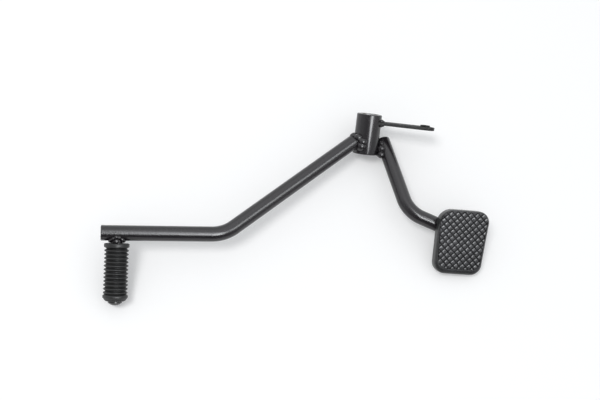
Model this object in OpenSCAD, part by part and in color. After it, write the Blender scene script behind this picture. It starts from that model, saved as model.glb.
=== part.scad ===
// Motorbike gear lever of the toe-and-heel kind, welded from round bar, tube and plate.
// Frame: origin at the centre of the pivot bore, +Y along the bore towards the engine,
// +X towards the back of the bike, +Z up, with the heel pad level along the bike.

/* [Pivot hub] */
// Outside diameter of the pivot hub
hub_od = 25; // [23:0.5:32]
// Bore of the hub, which turns on the pivot pin
hub_bore = 17; // [12:0.5:18]
// Length of the hub along the pivot
hub_len = 40; // [36:1:60]
// Chamfer on the rims of the hub
hub_chamfer = 0.6; // [0.2:0.1:1.5]

/* [Toe arm] */
// Diameter of the round bar of the toe arm
toe_bar_d = 14; // [10:0.5:16]
// How far inboard of the hub's centre the toe arm points at the pivot axis
toe_aim = 2; // [-2:0.5:5]
// Length from the pivot axis to the corner of the toe arm
toe_leg = 184; // [150:1:220]
// Angle of that leg above the level, seen along the pivot
toe_clock = 24.6; // [0:0.2:40]
// Angle by which that leg runs outboard
toe_sweep = 33.3; // [10:0.1:40]
// Length from the corner to the free end of the toe arm
toe_run = 111; // [80:1:150]
// Outboard angle of the straight run
toe_splay = 3.3; // [0:0.1:8]
// Upward angle of the straight run
toe_pitch = 1; // [-5:0.5:8]
// Radius of the bend, to the middle of the bar
toe_bend_r = 35; // [25:1:50]
// Chamfer on the cut ends of both bars
bar_chamfer = 0.8; // [0.2:0.1:1.5]

/* [Toe peg] */
// Distance of the peg from the free end of the toe arm
peg_inset = 14.5; // [12:0.5:25]
// Diameter of the peg
peg_d = 10; // [8:0.5:11]
// Bare length of the peg between the bar and the rubber
peg_neck = 2.4; // [2.2:0.1:5]
// Upward angle of the peg
peg_rise = 10.2; // [0:0.2:15]
// Backward angle of the peg
peg_lean = 2.7; // [0:0.1:8]
// Diameter of the domed head
peg_head_d = 12.6; // [11.5:0.1:15]
// Height of the straight edge of the head
peg_head_edge = 1.4; // [0.5:0.1:3]
// Height of the dome of the head
peg_head_dome = 2.6; // [1.5:0.1:4]

/* [Toe peg rubber] */
// Diameter over the ribs
rib_d = 22; // [19:0.2:26]
// Diameter at the bottom of the grooves
rib_root_d = 18.2; // [15:0.2:18.8]
// Distance from rib to rib
rib_pitch = 3.44; // [2.5:0.02:4.5]
// Number of thin ribs
rib_count = 12; // [6:1:14]
// Width of the flat crest of a rib
rib_crest = 0.6; // [0.3:0.1:1]
// Diameter of the thick rings at both ends
ring_d = 22.6; // [20:0.2:27]
// Width of the thick ring next to the arm
ring_w = 3.8; // [2.5:0.1:6]
// Width of the thick ring next to the head
tip_ring_w = 1.6; // [1:0.1:3]
// Length of the taper behind that ring
tip_taper = 3.4; // [2:0.1:5]
// Diameter of the rubber at its free end
tip_d = 17.4; // [15.5:0.1:18.5]

/* [Heel arm] */
// Diameter of the round bar of the heel arm
heel_bar_d = 14; // [10:0.5:16]
// How far outboard of the hub's centre the heel arm starts
heel_start = 5.5; // [0:0.5:10]
// Angle below the level at which the heel arm lies against the hub
heel_clock = 20.5; // [0:0.5:40]
// Angle between the first leg and the pivot axis
heel_lean = 42.4; // [30:0.1:60]
// Length of the first leg, to the corner
heel_leg = 84; // [60:0.5:110]
// Length from the corner to the end of the bar under the pad
heel_run = 55; // [45:0.5:70]
// Outboard angle of the second leg in the plane of the pad
heel_turn = 18.2; // [5:0.1:30]
// Radius of the bend, to the middle of the bar
heel_bend_r = 24; // [18:1:26]

/* [Heel pad] */
// Tilt of the pad, its outboard edge up
pad_tilt = 5; // [0:0.5:35]
// How far outboard of the bar's end the middle of the pad lies
pad_drop = 7.3; // [2:0.1:12]
// How far the pad's outboard edge stands ahead of its inboard edge
pad_skew = 1.6; // [0:0.1:4]
// Thickness of the steel plate
pad_plate_t = 3; // [2:0.1:4]
// Width of the rubber along its inboard edge
pad_w_in = 51.4; // [46:0.1:60]
// Width of the rubber along its outboard edge
pad_w_out = 48.2; // [42:0.1:60]
// Length of the rubber from edge to edge
pad_len = 62.6; // [54:0.1:72]
// Radius of its corners
pad_corner_r = 11; // [10:0.5:14]
// Radius of the corner under which the arm comes in
pad_arm_corner_r = 15; // [10:0.5:18]
// Thickness of the rubber over the plate, studs and all
pad_cover = 5; // [4:0.1:7]
// Thickness of the rubber round the plate's edge
pad_wall = 3; // [2:0.1:4]
// Thickness of the lip behind the plate
pad_lip_t = 3; // [2:0.1:4]
// How far the lip reaches over the plate
pad_lip_w = 4; // [2:0.1:6]
// Rounding of the rubber's upper edge
pad_round = 3; // [1:0.1:3.4]
// Rounding of the rubber's lower edge
pad_under_round = 1.5; // [0.5:0.1:1.8]

/* [Studs of the pad] */
// Distance from stud to stud along a row
stud_pitch = 4.7; // [3.4:0.1:7]
// Width of a stud's flat top
stud_top = 0.7; // [0.4:0.1:1.5]
// Depth of the grooves between the studs
stud_depth = 1.9; // [1:0.1:2.4]
// Turn of the rows from the pad's middle line
stud_turn = 45; // [30:1:60]
// Plain rim beside the studs
stud_rim = 2.2; // [1.8:0.1:4]
// How much wider that rim is along the outboard edge
stud_foot = 2.6; // [0:0.1:4]
// How much narrower it is along the inboard edge
stud_head = 0.9; // [0:0.1:1.2]
// How much narrower it is at the corner where the arm comes in
stud_near = 1.6; // [0:0.1:1.6]

/* [Linkage plate] */
// Thickness of the plate
link_t = 3; // [2:0.1:4]
// How far in from the hub's inboard end the middle of the plate stands
link_inset = 8; // [6:0.5:12]
// Distance from the pivot axis to the eye
link_reach = 56.5; // [40:0.5:80]
// Angle of the plate above the level
link_pitch = 10; // [0:1:30]
// Half of the plate's width at the pivot axis
link_root_r = 8.5; // [7:0.5:11.5]
// Radius of the plate's round end
link_eye_r = 9.5; // [7:0.5:11]
// Outside diameter of the eyelet in the plate
eyelet_d = 8; // [7:0.1:9]
// Bore of the eyelet
eyelet_bore = 6.2; // [4:0.1:6.4]
// Diameter of the eyelet's collar
eyelet_collar_d = 9.6; // [9.2:0.1:12]
// Height of the collar over the plate
eyelet_collar_h = 1.5; // [0.8:0.1:3]

/* [Welds] */
// Radius of a bead of the toe arm's weld
toe_bead = 3.5; // [2.6:0.1:4]
// Radius of a bead of the heel arm's weld
heel_bead = 2.8; // [2.4:0.1:4]
// Radius of a bead of the toe peg's weld
peg_bead = 1.9; // [1.5:0.1:2.1]
// Radius of a bead of the linkage plate's weld
link_bead = 1.9; // [1.8:0.1:3.6]
// Radius of a bead of the heel pad's weld
pad_bead = 2.3; // [1.8:0.1:2.8]

/* [Fits] */
// Gap at a welded junction before it is welded
weld_gap = 0.3; // [0.1:0.1:0.6]
// Gap between the pad's lip and the bar that passes it
pass_gap = 0.6; // [0.3:0.1:1.5]

/* [Hidden] */
$fn = 64;
STEEL = [0.10, 0.10, 0.11];
WELD = [0.16, 0.16, 0.17];
RUBBER = [0.05, 0.05, 0.055];
// How far the arc of a bend runs into the legs, in degrees, and how much thinner it is
bend_lap = 0.5;
bend_ease = 0.02;

// How far a face that is cut to lie on a bar stands off it
cut_ease = 0.02;

// Directions of the bars, each a unit vector
function unit(v) = v / norm(v);
toe_radial = [-cos(toe_clock), 0, sin(toe_clock)];
toe_dir = cos(toe_sweep) * toe_radial - [0, sin(toe_sweep), 0];
toe_side = sin(toe_sweep) * toe_radial + [0, cos(toe_sweep), 0];
run_dir = [-cos(toe_pitch) * cos(toe_splay), -cos(toe_pitch) * sin(toe_splay), sin(toe_pitch)];
peg_dir = [cos(peg_rise) * sin(peg_lean), -cos(peg_rise) * cos(peg_lean), sin(peg_rise)];
heel_radial = [cos(heel_clock), 0, -sin(heel_clock)];
heel_rise = [sin(heel_clock), 0, cos(heel_clock)];
heel_dir = sin(heel_lean) * heel_rise - [0, cos(heel_lean), 0];
pad_across = [0, cos(pad_tilt), -sin(pad_tilt)];
pad_up = [0, sin(pad_tilt), cos(pad_tilt)];
heel_run_dir = [cos(heel_turn), 0, 0] - sin(heel_turn) * pad_across;

// Places along the bars
hub_r = hub_od / 2;
toe_bar_r = toe_bar_d / 2;
heel_bar_r = heel_bar_d / 2;
link_y = hub_len / 2 - link_inset;
peg_r = peg_d / 2;
toe_target = [0, toe_aim, 0];
toe_cut = (hub_r + weld_gap + toe_bar_r * sin(toe_sweep)) / cos(toe_sweep);
toe_root = toe_target + toe_cut * toe_dir;
toe_corner = toe_target + toe_leg * toe_dir;
toe_end = toe_corner + toe_run * run_dir;
peg_foot = toe_end - peg_inset * run_dir;
heel_root = (hub_r + heel_bar_r + weld_gap) * heel_radial - [0, heel_start, 0];
heel_corner = heel_root + heel_leg * heel_dir;
heel_end = heel_corner + heel_run * heel_run_dir;

// Lengths along the peg, from the middle of the toe arm's bar
rubber_start = toe_bar_r + peg_neck;
ribs_start = rubber_start + ring_w;
ribs_len = rib_pitch * (rib_count + 0.5);
rubber_end = ribs_start + ribs_len + tip_ring_w + tip_taper;

// Origin of the pad's plane, which touches the bar from above, is the middle of the plate's back
pad_middle = heel_end - pad_drop * pad_across + heel_bar_r * pad_up;
pad_top = pad_plate_t + pad_cover;
corner_steps = 9;
// Middles of the corners' arcs and their radii, from the rear inboard one and anticlockwise
pad_corners = [[[pad_w_in / 2 + pad_skew / 2, pad_len / 2], [-1, -1], pad_corner_r],
               [[-pad_w_in / 2 + pad_skew / 2, pad_len / 2], [1, -1], pad_arm_corner_r],
               [[-pad_w_out / 2 - pad_skew / 2, -pad_len / 2], [1, 1], pad_corner_r],
               [[pad_w_out / 2 - pad_skew / 2, -pad_len / 2], [-1, 1], pad_corner_r]];

// Stands a shape that is built along +Z at a point, along a direction
module along(origin, dir)
{
    translate(origin)
        rotate([0, acos(dir.z), atan2(dir.y, dir.x)])
            children();
}

// Puts a shape in the pad's frame, X along the bike and Z out of the tread
module on_pad()
{
    translate(pad_middle)
        rotate([-pad_tilt, 0, 0])
            children();
}

// A round rod with both ends chamfered
module rod(d, len, chamfer_low, chamfer_high)
{
    rotate_extrude()
        polygon([[0, 0], [d / 2 - chamfer_low, 0], [d / 2, chamfer_low],
                 [d / 2, len - chamfer_high], [d / 2 - chamfer_high, len], [0, len]]);
}

// Round bar with one bend, built about the bend's centre: the arc is a hair thinner than the
// legs and runs a little way into both, so that the three join for certain
module bent_bar(start, corner, finish, d, bend_r)
{
    first = unit(corner - start);
    second = unit(finish - corner);
    turn = acos(first * second);
    tangent = bend_r * tan(turn / 2);
    arc_start = corner - tangent * first;
    normal = unit(cross(first, second));
    centre = arc_start + bend_r * cross(normal, first);
    tilt = acos(normal.z);
    heading = atan2(normal.y, normal.x);
    local_x = [cos(tilt) * cos(heading), cos(tilt) * sin(heading), -sin(tilt)];
    local_y = [-sin(heading), cos(heading), 0];
    spoke = arc_start - centre;
    spin = atan2(spoke * local_y, spoke * local_x);
    along(centre, normal)
        rotate([0, 0, spin])
            union()
            {
                translate([bend_r, 0, 0])
                    rotate([90, 0, 0])
                        rod(d, norm(corner - start) - tangent, 0, bar_chamfer);
                rotate([0, 0, -bend_lap])
                    rotate_extrude(angle = turn + 2 * bend_lap)
                        translate([bend_r, 0])
                            circle(d = d - 2 * bend_ease);
                rotate([0, 0, turn])
                    translate([bend_r, 0, 0])
                        rotate([-90, 0, 0])
                            rod(d, norm(finish - corner) - tangent, 0, bar_chamfer);
            }
}

// A plain cylinder, which cuts a weld back to the face of a bar
module bar_space(from, dir, len, d)
{
    along(from, dir)
        cylinder(h = len, d = d + 2 * cut_ease);
}

module hub_space()
{
    rotate([90, 0, 0])
        cylinder(h = hub_len, d = hub_od, center = true);
}

module hub()
{
    color(STEEL)
        rotate([90, 0, 0])
            rotate_extrude()
                polygon([[hub_bore / 2, -hub_len / 2 + hub_chamfer],
                         [hub_bore / 2 + hub_chamfer, -hub_len / 2],
                         [hub_r - hub_chamfer, -hub_len / 2],
                         [hub_r, -hub_len / 2 + hub_chamfer],
                         [hub_r, hub_len / 2 - hub_chamfer],
                         [hub_r - hub_chamfer, hub_len / 2],
                         [hub_bore / 2 + hub_chamfer, hub_len / 2],
                         [hub_bore / 2, hub_len / 2 - hub_chamfer]]);
}

// The toe arm's bar is cut square, so only its outboard edge meets the hub
module toe_arm()
{
    color(STEEL)
        bent_bar(toe_root, toe_corner, toe_end, toe_bar_d, toe_bend_r);
}

// Fills the wedge between the square cut and the hub: a core and a ring of lumps on the hub
module toe_arm_weld()
{
    lumps = 11;
    ring_across = 1.12 * toe_bar_r;
    ring_along = 0.72 * toe_bar_r;
    ring_y = toe_target.y - hub_r * tan(toe_sweep) - 0.4 * toe_bar_r;
    color(WELD)
        difference()
        {
            union()
            {
                along(toe_target - 0.25 * toe_bar_r * toe_side, toe_dir)
                    cylinder(h = toe_cut, r = 0.74 * toe_bar_r);
                for (i = [0 : lumps - 1])
                {
                    round_ring = i * 360 / lumps;
                    clock = toe_clock + ring_across * sin(round_ring) / hub_r * 180 / PI;
                    reach = hub_r + 0.15 * toe_bead;
                    translate([-reach * cos(clock), ring_y + ring_along * cos(round_ring), reach * sin(clock)])
                        sphere(r = toe_bead * (1 + 0.1 * sin(200 * i)));
                }
            }
            hub_space();
            bar_space(toe_root - cut_ease * toe_dir, toe_dir, toe_leg / 2, toe_bar_d);
        }
}

module heel_arm()
{
    color(STEEL)
        bent_bar(heel_root, heel_corner, heel_end, heel_bar_d, heel_bend_r);
}

// A run of weld laid in ripples, as a turned bead with a swelling for each ripple
module bead_run(from, to, r, ripples)
{
    steps = 4 * ripples;
    len = norm(to - from);
    along(from, unit(to - from))
        rotate_extrude()
            polygon(concat([[0, -0.6 * r], [0.5 * r, -0.6 * r], [0.8 * r, -0.3 * r]],
                           [for (i = [0 : steps])
                                [r * (1 - 0.14 * pow(cos(45 * i), 2)), len * i / steps]],
                           [[0.8 * r, len + 0.3 * r], [0.5 * r, len + 0.6 * r], [0, len + 0.6 * r]]));
}

// A point in the crease between the hub and the heel arm: side is how far above their line of
// contact it sits, in radii of the bar, and lift how far out from the hub
function heel_crease(y, side, lift) =
    let (middle = heel_root + (-heel_start - y) / cos(heel_lean) * heel_dir,
         away = norm([middle.x, middle.z]),
         out = [middle.x, 0, middle.z] / away,
         up = [-out.z, 0, out.x])
    [0, y, 0] + (hub_r + (away - hub_r - heel_bar_r) / 2 + lift) * out + side * heel_bar_r * up;

// One run above the line of contact and one below it
module heel_arm_weld()
{
    first_y = -heel_start - 0.8 * heel_bead;
    last_y = -hub_len / 2 - 0.2 * heel_bead;
    high = [0.78, 0.5 * heel_bead];
    low = [-0.6, 0.2 * heel_bead];
    color(WELD)
        difference()
        {
            for (run = [high, low])
                bead_run(heel_crease(first_y, run[0], run[1]), heel_crease(last_y, run[0], run[1]),
                         heel_bead, 5);
            hub_space();
            bar_space(heel_root - cut_ease * heel_dir, heel_dir, heel_leg / 2, heel_bar_d);
        }
}

// Puts a flat outline, drawn along +X, in the plane of the linkage plate
module on_link(y)
{
    translate([0, y, 0])
        rotate([90, -link_pitch, 0])
            children();
}

// Flat plate that narrows from the hub to a round end with the eyelet's hole
module link_plate()
{
    taper = asin((link_root_r - link_eye_r) / link_reach);
    tangent = [link_eye_r * sin(taper), link_eye_r * cos(taper)];
    color(STEEL)
        difference()
        {
            on_link(link_y + link_t / 2)
                linear_extrude(height = link_t)
                    difference()
                    {
                        union()
                        {
                            polygon([[0, -link_root_r], [link_reach + tangent.x, -tangent.y],
                                     [link_reach + tangent.x, tangent.y], [0, link_root_r]]);
                            translate([link_reach, 0])
                                circle(r = link_eye_r);
                        }
                        translate([link_reach, 0])
                            circle(d = eyelet_d);
                    }
            hub_space();
        }
}

// Eyelet pressed into the plate, flush outboard and with its collar inboard
module link_eyelet()
{
    color(STEEL)
        on_link(link_y + link_t / 2)
            translate([link_reach, 0, 0])
                rotate_extrude()
                    polygon([[eyelet_bore / 2, -eyelet_collar_h], [eyelet_collar_d / 2, -eyelet_collar_h],
                             [eyelet_collar_d / 2, 0], [eyelet_d / 2, 0],
                             [eyelet_d / 2, link_t], [eyelet_bore / 2, link_t]]);
}

// Fillet on both faces of the plate where it stands on the hub
module link_weld()
{
    spread = 0.6 * asin(link_root_r / hub_r);
    lumps = 5;
    color(WELD)
        for (side = [-1, 1])
            difference()
            {
                for (i = [0 : lumps - 1])
                {
                    clock = link_pitch + spread * (2 * i / (lumps - 1) - 1);
                    reach = hub_r + 0.8 * link_bead;
                    translate([reach * cos(clock), link_y + side * (link_t / 2 + 0.35 * link_bead),
                               reach * sin(clock)])
                        sphere(r = link_bead * (1 + 0.06 * sin(140 * i + 50 * side)));
                }
                hub_space();
                on_link(link_y + link_t / 2)
                    linear_extrude(height = link_t)
                        translate([0, -link_reach])
                            square([link_reach, 2 * link_reach]);
            }
}

// Plain round peg with a domed head, saddled on the bar
module toe_peg()
{
    dome_r = (pow(peg_head_d / 2, 2) + pow(peg_head_dome, 2)) / (2 * peg_head_dome);
    dome_half = asin(peg_head_d / 2 / dome_r);
    head_top = rubber_end + peg_head_edge;
    color(STEEL)
        difference()
        {
            along(peg_foot, peg_dir)
                rotate_extrude()
                    polygon(concat([[0, 0], [peg_r, 0], [peg_r, rubber_end],
                                    [peg_head_d / 2, rubber_end]],
                                   [for (i = [0 : 8])
                                        let (a = dome_half * (1 - i / 8))
                                        [dome_r * sin(a), head_top - dome_r * cos(dome_half) + dome_r * cos(a)]]));
            bar_space(peg_foot - toe_bar_d * run_dir, run_dir, 2 * toe_bar_d, toe_bar_d);
        }
}

// Ring of small lumps in the saddle between the bar and the peg
module toe_peg_weld()
{
    lumps = 13;
    ring_r = peg_r + 0.35 * peg_bead;
    out = unit(peg_dir - (peg_dir * run_dir) * run_dir);
    up = cross(run_dir, out);
    color(WELD)
        difference()
        {
            for (i = [0 : lumps - 1])
            {
                round_ring = i * 360 / lumps;
                height = sqrt(pow(toe_bar_r, 2) - pow(ring_r * sin(round_ring), 2));
                translate(peg_foot + ring_r * cos(round_ring) * run_dir
                          + ring_r * sin(round_ring) * up + height * out)
                    sphere(r = peg_bead * (1 + 0.06 * sin(170 * i)));
            }
            bar_space(peg_foot - toe_bar_d * run_dir, run_dir, 2 * toe_bar_d, toe_bar_d);
            bar_space(peg_foot, peg_dir, rubber_end, peg_d);
            bar_space(peg_foot + rubber_start * peg_dir, peg_dir, rib_d, ring_d);
        }
}

// Turned outline of the toe rubber: thick ring, thin ribs, thick ring and taper
module toe_peg_rubber()
{
    root_r = rib_root_d / 2;
    edge = 0.5;
    first_rib = ribs_start + 0.75 * rib_pitch;
    last_ring = ribs_start + ribs_len;
    slope = (rib_pitch - rib_crest) / 2;
    color(RUBBER)
        along(peg_foot, peg_dir)
            rotate_extrude()
                polygon(concat(
                    [[peg_r, rubber_start], [ring_d / 2 - edge, rubber_start],
                     [ring_d / 2, rubber_start + edge], [ring_d / 2, ribs_start - edge],
                     [root_r, ribs_start + edge]],
                    [for (i = [0 : rib_count - 1], p = [[root_r, -rib_crest / 2 - slope + 0.1],
                                                        [rib_d / 2, -rib_crest / 2],
                                                        [rib_d / 2, rib_crest / 2],
                                                        [root_r, rib_crest / 2 + slope - 0.1]])
                        [p.x, first_rib + i * rib_pitch + p.y]],
                    [[ring_d / 2, last_ring], [ring_d / 2, last_ring + tip_ring_w],
                     [tip_d / 2 + edge, rubber_end - edge], [tip_d / 2 - edge, rubber_end],
                     [peg_r, rubber_end]]));
}

// Outline of the pad, drawn inset from its edge and by foot more along the outboard edge
function arc(centre, r, from, to) =
    [for (i = [0 : corner_steps])
        let (a = from + (to - from) * i / corner_steps)
        centre + r * [cos(a), sin(a)]];

function corner_middle(corner) =
    [corner[0].x + corner[1].x * corner[2], corner[0].y + corner[1].y * corner[2]];

module pad_outline(inset, shifts = [[0, 0], [0, 0], [0, 0], [0, 0]])
{
    polygon([for (i = [0 : 3])
                let (corner = pad_corners[i])
                each arc(corner_middle(corner) + shifts[i], corner[2] - inset, 90 * i, 90 * i + 90)]);
}

// The field of studs stands nearer to two edges of the pad than to the others
module tread_outline()
{
    pad_outline(stud_rim, [[0, stud_head], [-stud_near, stud_head], [0, stud_foot], [0, stud_foot]]);
}

module heel_pad_plate()
{
    color(STEEL)
        on_pad()
            linear_extrude(height = pad_plate_t)
                pad_outline(pad_wall);
}

// Two runs of lumps along the bar where it lies against the plate
module heel_pad_weld()
{
    lumps = 6;
    run_in = [-cos(heel_turn), sin(heel_turn)];
    side_dir = [sin(heel_turn), cos(heel_turn)];
    weld_len = 0.26 * heel_run;
    color(WELD)
        difference()
        {
            on_pad()
                intersection()
                {
                    for (i = [0 : lumps - 1], side = [-1, 1])
                    {
                        at = [0, pad_drop] + weld_len * i / (lumps - 1) * run_in
                             + side * 0.6 * heel_bar_r * side_dir;
                        translate([at.x, at.y, -0.1 * heel_bar_r])
                            sphere(r = pad_bead * (1 + 0.06 * sin(130 * i)));
                    }
                    translate([-pad_w_in / 2, -pad_len / 2, -heel_bar_r])
                        cube([pad_w_in, pad_len, heel_bar_r]);
                }
            bar_space(heel_corner, heel_run_dir, 2 * heel_run, heel_bar_d);
        }
}

// Outer form of the rubber: a disc with rounded rims at each corner, all wrapped in one skin
module pad_corner_disc(r)
{
    steps = 4;
    low = -pad_lip_t;
    rotate_extrude($fn = 36)
        polygon(concat([[0, low], [r - pad_under_round, low]],
                       [for (i = [1 : steps])
                            let (a = 90 * i / steps)
                            [r - pad_under_round + pad_under_round * sin(a),
                             low + pad_under_round - pad_under_round * cos(a)]],
                       [for (i = [0 : steps])
                            let (a = 90 * i / steps)
                            [r - pad_round + pad_round * cos(a),
                             pad_top - pad_round + pad_round * sin(a)]],
                       [[0, pad_top]]));
}

module pad_body()
{
    hull()
    {
        for (corner = pad_corners)
            translate(corner_middle(corner))
                pad_corner_disc(corner[2]);
    }
}

// Rows of V grooves at one angle
module stud_grooves(turn)
{
    half_groove = (stud_pitch - stud_top) / 2;
    rows = ceil(norm([pad_w_in, pad_len]) / 2 / stud_pitch);
    for (i = [-rows : rows])
        rotate([0, 0, turn])
            translate([(i + 0.5) * stud_pitch, pad_len, pad_top])
                rotate([90, 0, 0])
                    linear_extrude(height = 2 * pad_len)
                        polygon([[-half_groove, 0], [0, -stud_depth], [half_groove, 0],
                                 [half_groove, 1], [-half_groove, 1]]);
}

// Pyramid studs inside the rim, and a pocket behind that holds the plate
module heel_pad_rubber()
{
    tread_floor = pad_top - stud_depth - 0.3;
    color(RUBBER)
        difference()
        {
            on_pad()
                union()
                {
                    difference()
                    {
                        pad_body();
                        translate([0, 0, tread_floor])
                            linear_extrude(height = pad_top)
                                tread_outline();
                        linear_extrude(height = pad_plate_t)
                            pad_outline(pad_wall);
                        translate([0, 0, -2 * pad_lip_t])
                            linear_extrude(height = 3 * pad_lip_t)
                                pad_outline(pad_wall + pad_lip_w);
                    }
                    difference()
                    {
                        intersection()
                        {
                            pad_body();
                            translate([0, 0, tread_floor])
                                linear_extrude(height = pad_top)
                                    tread_outline();
                        }
                        stud_grooves(stud_turn);
                        stud_grooves(stud_turn - 90);
                    }
                }
            bar_space(heel_end, -heel_run_dir, heel_run, heel_bar_d + 2 * pass_gap);
        }
}

hub();
toe_arm();
toe_arm_weld();
heel_arm();
heel_arm_weld();
link_plate();
link_eyelet();
link_weld();
toe_peg();
toe_peg_weld();
toe_peg_rubber();
heel_pad_plate();
heel_pad_weld();
heel_pad_rubber();
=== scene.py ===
# %% [markdown]
# # A toe-and-heel gear lever, welded and painted black
# A motorbike gear lever is round steel bar welded to a short tube that turns on a pin. This
# lesson dresses its solids one piece at a time. The sizes are the solids' own, in millimetres,
# and every piece is built where it belongs, so nothing has to be fitted afterwards.

# %% Load the fixed frame
import math

import bmesh
import bpy
import numpy as np
from mathutils import Matrix, Vector


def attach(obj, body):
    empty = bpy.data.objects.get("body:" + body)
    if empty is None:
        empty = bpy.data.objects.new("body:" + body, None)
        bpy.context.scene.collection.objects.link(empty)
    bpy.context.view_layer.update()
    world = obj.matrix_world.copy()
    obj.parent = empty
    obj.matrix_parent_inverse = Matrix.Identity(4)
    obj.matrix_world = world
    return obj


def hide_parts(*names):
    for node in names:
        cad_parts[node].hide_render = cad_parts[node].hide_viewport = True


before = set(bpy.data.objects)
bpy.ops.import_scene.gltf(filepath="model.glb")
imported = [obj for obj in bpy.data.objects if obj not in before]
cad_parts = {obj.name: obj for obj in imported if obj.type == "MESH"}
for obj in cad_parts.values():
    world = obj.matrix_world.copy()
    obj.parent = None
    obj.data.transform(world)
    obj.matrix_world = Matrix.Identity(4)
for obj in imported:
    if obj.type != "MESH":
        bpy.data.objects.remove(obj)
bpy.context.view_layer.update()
scene = bpy.context.scene
MM = 0.001
print("nodes in the frame:", len(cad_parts))

# %% [markdown]
# ## The lever's own measures
# A bar is known by three points: where it starts, its corner and its end. They come from a few
# angles, worked out here once, so that the arms, the peg, the pad and the welds all agree.

# %% Directions and places, in millimetres
def sin(angle):
    return math.sin(math.radians(angle))


def cos(angle):
    return math.cos(math.radians(angle))


def unit(v):
    return v / np.linalg.norm(v)


HUB_R, HUB_BORE_R, HUB_LEN = 12.5, 8.5, 40.0
BAR_R, WELD_GAP = 7.0, 0.3

# Angles are in degrees. A clock is a place round the hub, and a back is a lean along it.
TOE_CLOCK, TOE_BACK, TOE_LEG, TOE_RUN = 24.6, 33.3, 184, 111
RUN_RISE, RUN_SPLAY = 1, 3.3
PEG_RISE, PEG_SPLAY, PEG_INSET = 10.2, 2.7, 14.5
toe_radial = np.array([-cos(TOE_CLOCK), 0, sin(TOE_CLOCK)])
toe_dir = cos(TOE_BACK) * toe_radial - [0, sin(TOE_BACK), 0]
toe_side = sin(TOE_BACK) * toe_radial + [0, cos(TOE_BACK), 0]
run_dir = np.array([-cos(RUN_RISE) * cos(RUN_SPLAY), -cos(RUN_RISE) * sin(RUN_SPLAY),
                    sin(RUN_RISE)])
peg_dir = np.array([cos(PEG_RISE) * sin(PEG_SPLAY), -cos(PEG_RISE) * cos(PEG_SPLAY),
                    sin(PEG_RISE)])
toe_target = np.array([0, 2.0, 0])
toe_cut = (HUB_R + WELD_GAP + BAR_R * sin(TOE_BACK)) / cos(TOE_BACK)
toe_root = toe_target + toe_cut * toe_dir
toe_corner = toe_target + TOE_LEG * toe_dir
toe_end = toe_corner + TOE_RUN * run_dir
peg_foot = toe_end - PEG_INSET * run_dir

HEEL_CLOCK, HEEL_BACK, HEEL_LEG, HEEL_RUN = 20.5, 42.4, 84, 55
HEEL_Y, HEEL_TURN, PAD_TILT, PAD_INSET = -5.5, 18.2, 5, 7.3
heel_radial = np.array([cos(HEEL_CLOCK), 0, -sin(HEEL_CLOCK)])
heel_dir = (sin(HEEL_BACK) * np.array([sin(HEEL_CLOCK), 0, cos(HEEL_CLOCK)])
            - [0, cos(HEEL_BACK), 0])
pad_across = np.array([0, cos(PAD_TILT), -sin(PAD_TILT)])
pad_up = np.array([0, sin(PAD_TILT), cos(PAD_TILT)])
heel_run_dir = np.array([cos(HEEL_TURN), 0, 0]) - sin(HEEL_TURN) * pad_across
heel_root = (HUB_R + BAR_R + WELD_GAP) * heel_radial + [0, HEEL_Y, 0]
heel_corner = heel_root + HEEL_LEG * heel_dir
heel_end = heel_corner + HEEL_RUN * heel_run_dir
pad_middle = heel_end - PAD_INSET * pad_across + BAR_R * pad_up
print("toe arm", toe_root.round(1), toe_corner.round(1), toe_end.round(1))
print("heel arm", heel_root.round(1), heel_corner.round(1), heel_end.round(1))

# %% [markdown]
# ## A desk for node trees
# Materials and Geometry Nodes are both trees of nodes. One method adds a node from its type,
# its settings and what goes into its sockets. Numbers that flow through a tree are wrapped, so
# that `1 - dust * 0.4` adds its own Math nodes and the recipe stays readable.

# %% Node desk and flowing numbers
class Flow:
    """A number that flows through a node tree and can be reckoned with."""

    def __init__(self, desk, socket):
        self.desk, self.socket = desk, socket

    def maths(self, operation, *numbers):
        node = self.desk.add("ShaderNodeMath", {"operation": operation}, dict(enumerate(numbers)))
        return Flow(self.desk, node.outputs[0])

    def __add__(self, other):
        return self.maths("ADD", self, other)

    def __radd__(self, other):
        return self.maths("ADD", other, self)

    def __sub__(self, other):
        return self.maths("SUBTRACT", self, other)

    def __rsub__(self, other):
        return self.maths("SUBTRACT", other, self)

    def __mul__(self, other):
        return self.maths("MULTIPLY", self, other)

    def __rmul__(self, other):
        return self.maths("MULTIPLY", other, self)

    def above(self, low, high):
        """0 below low, 1 above high, and a smooth rise between."""
        node = self.desk.add("ShaderNodeMapRange", {"interpolation_type": "SMOOTHSTEP"},
                             {"Value": self, "From Min": low, "From Max": high})
        return Flow(self.desk, node.outputs[0])


class Desk:
    """A node tree that is written one node at a time."""

    def __init__(self, tree):
        self.tree = tree

    def add(self, kind, settings=None, inputs=None):
        node = self.tree.nodes.new(kind)
        for name, value in (settings or {}).items():
            setattr(node, name, value)
        for key, value in (inputs or {}).items():
            value = value.socket if isinstance(value, Flow) else value
            if isinstance(value, bpy.types.NodeSocket):
                self.tree.links.new(value, node.inputs[key])
            else:
                node.inputs[key].default_value = value
        return node


print("desk ready")

# %% [markdown]
# ## Finishes
# The steel is sprayed gloss black. Spray dries with a fine dimpled skin, called orange peel,
# which breaks a highlight into specks. A picture of specks would stay put while the light
# moves, so the skin is a bump. A thin clear coat over a near-black base gives the sharp
# reflections. Dust and handling only change roughness and lift the black a little. All
# patterns read Object coordinates, in metres.

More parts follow.
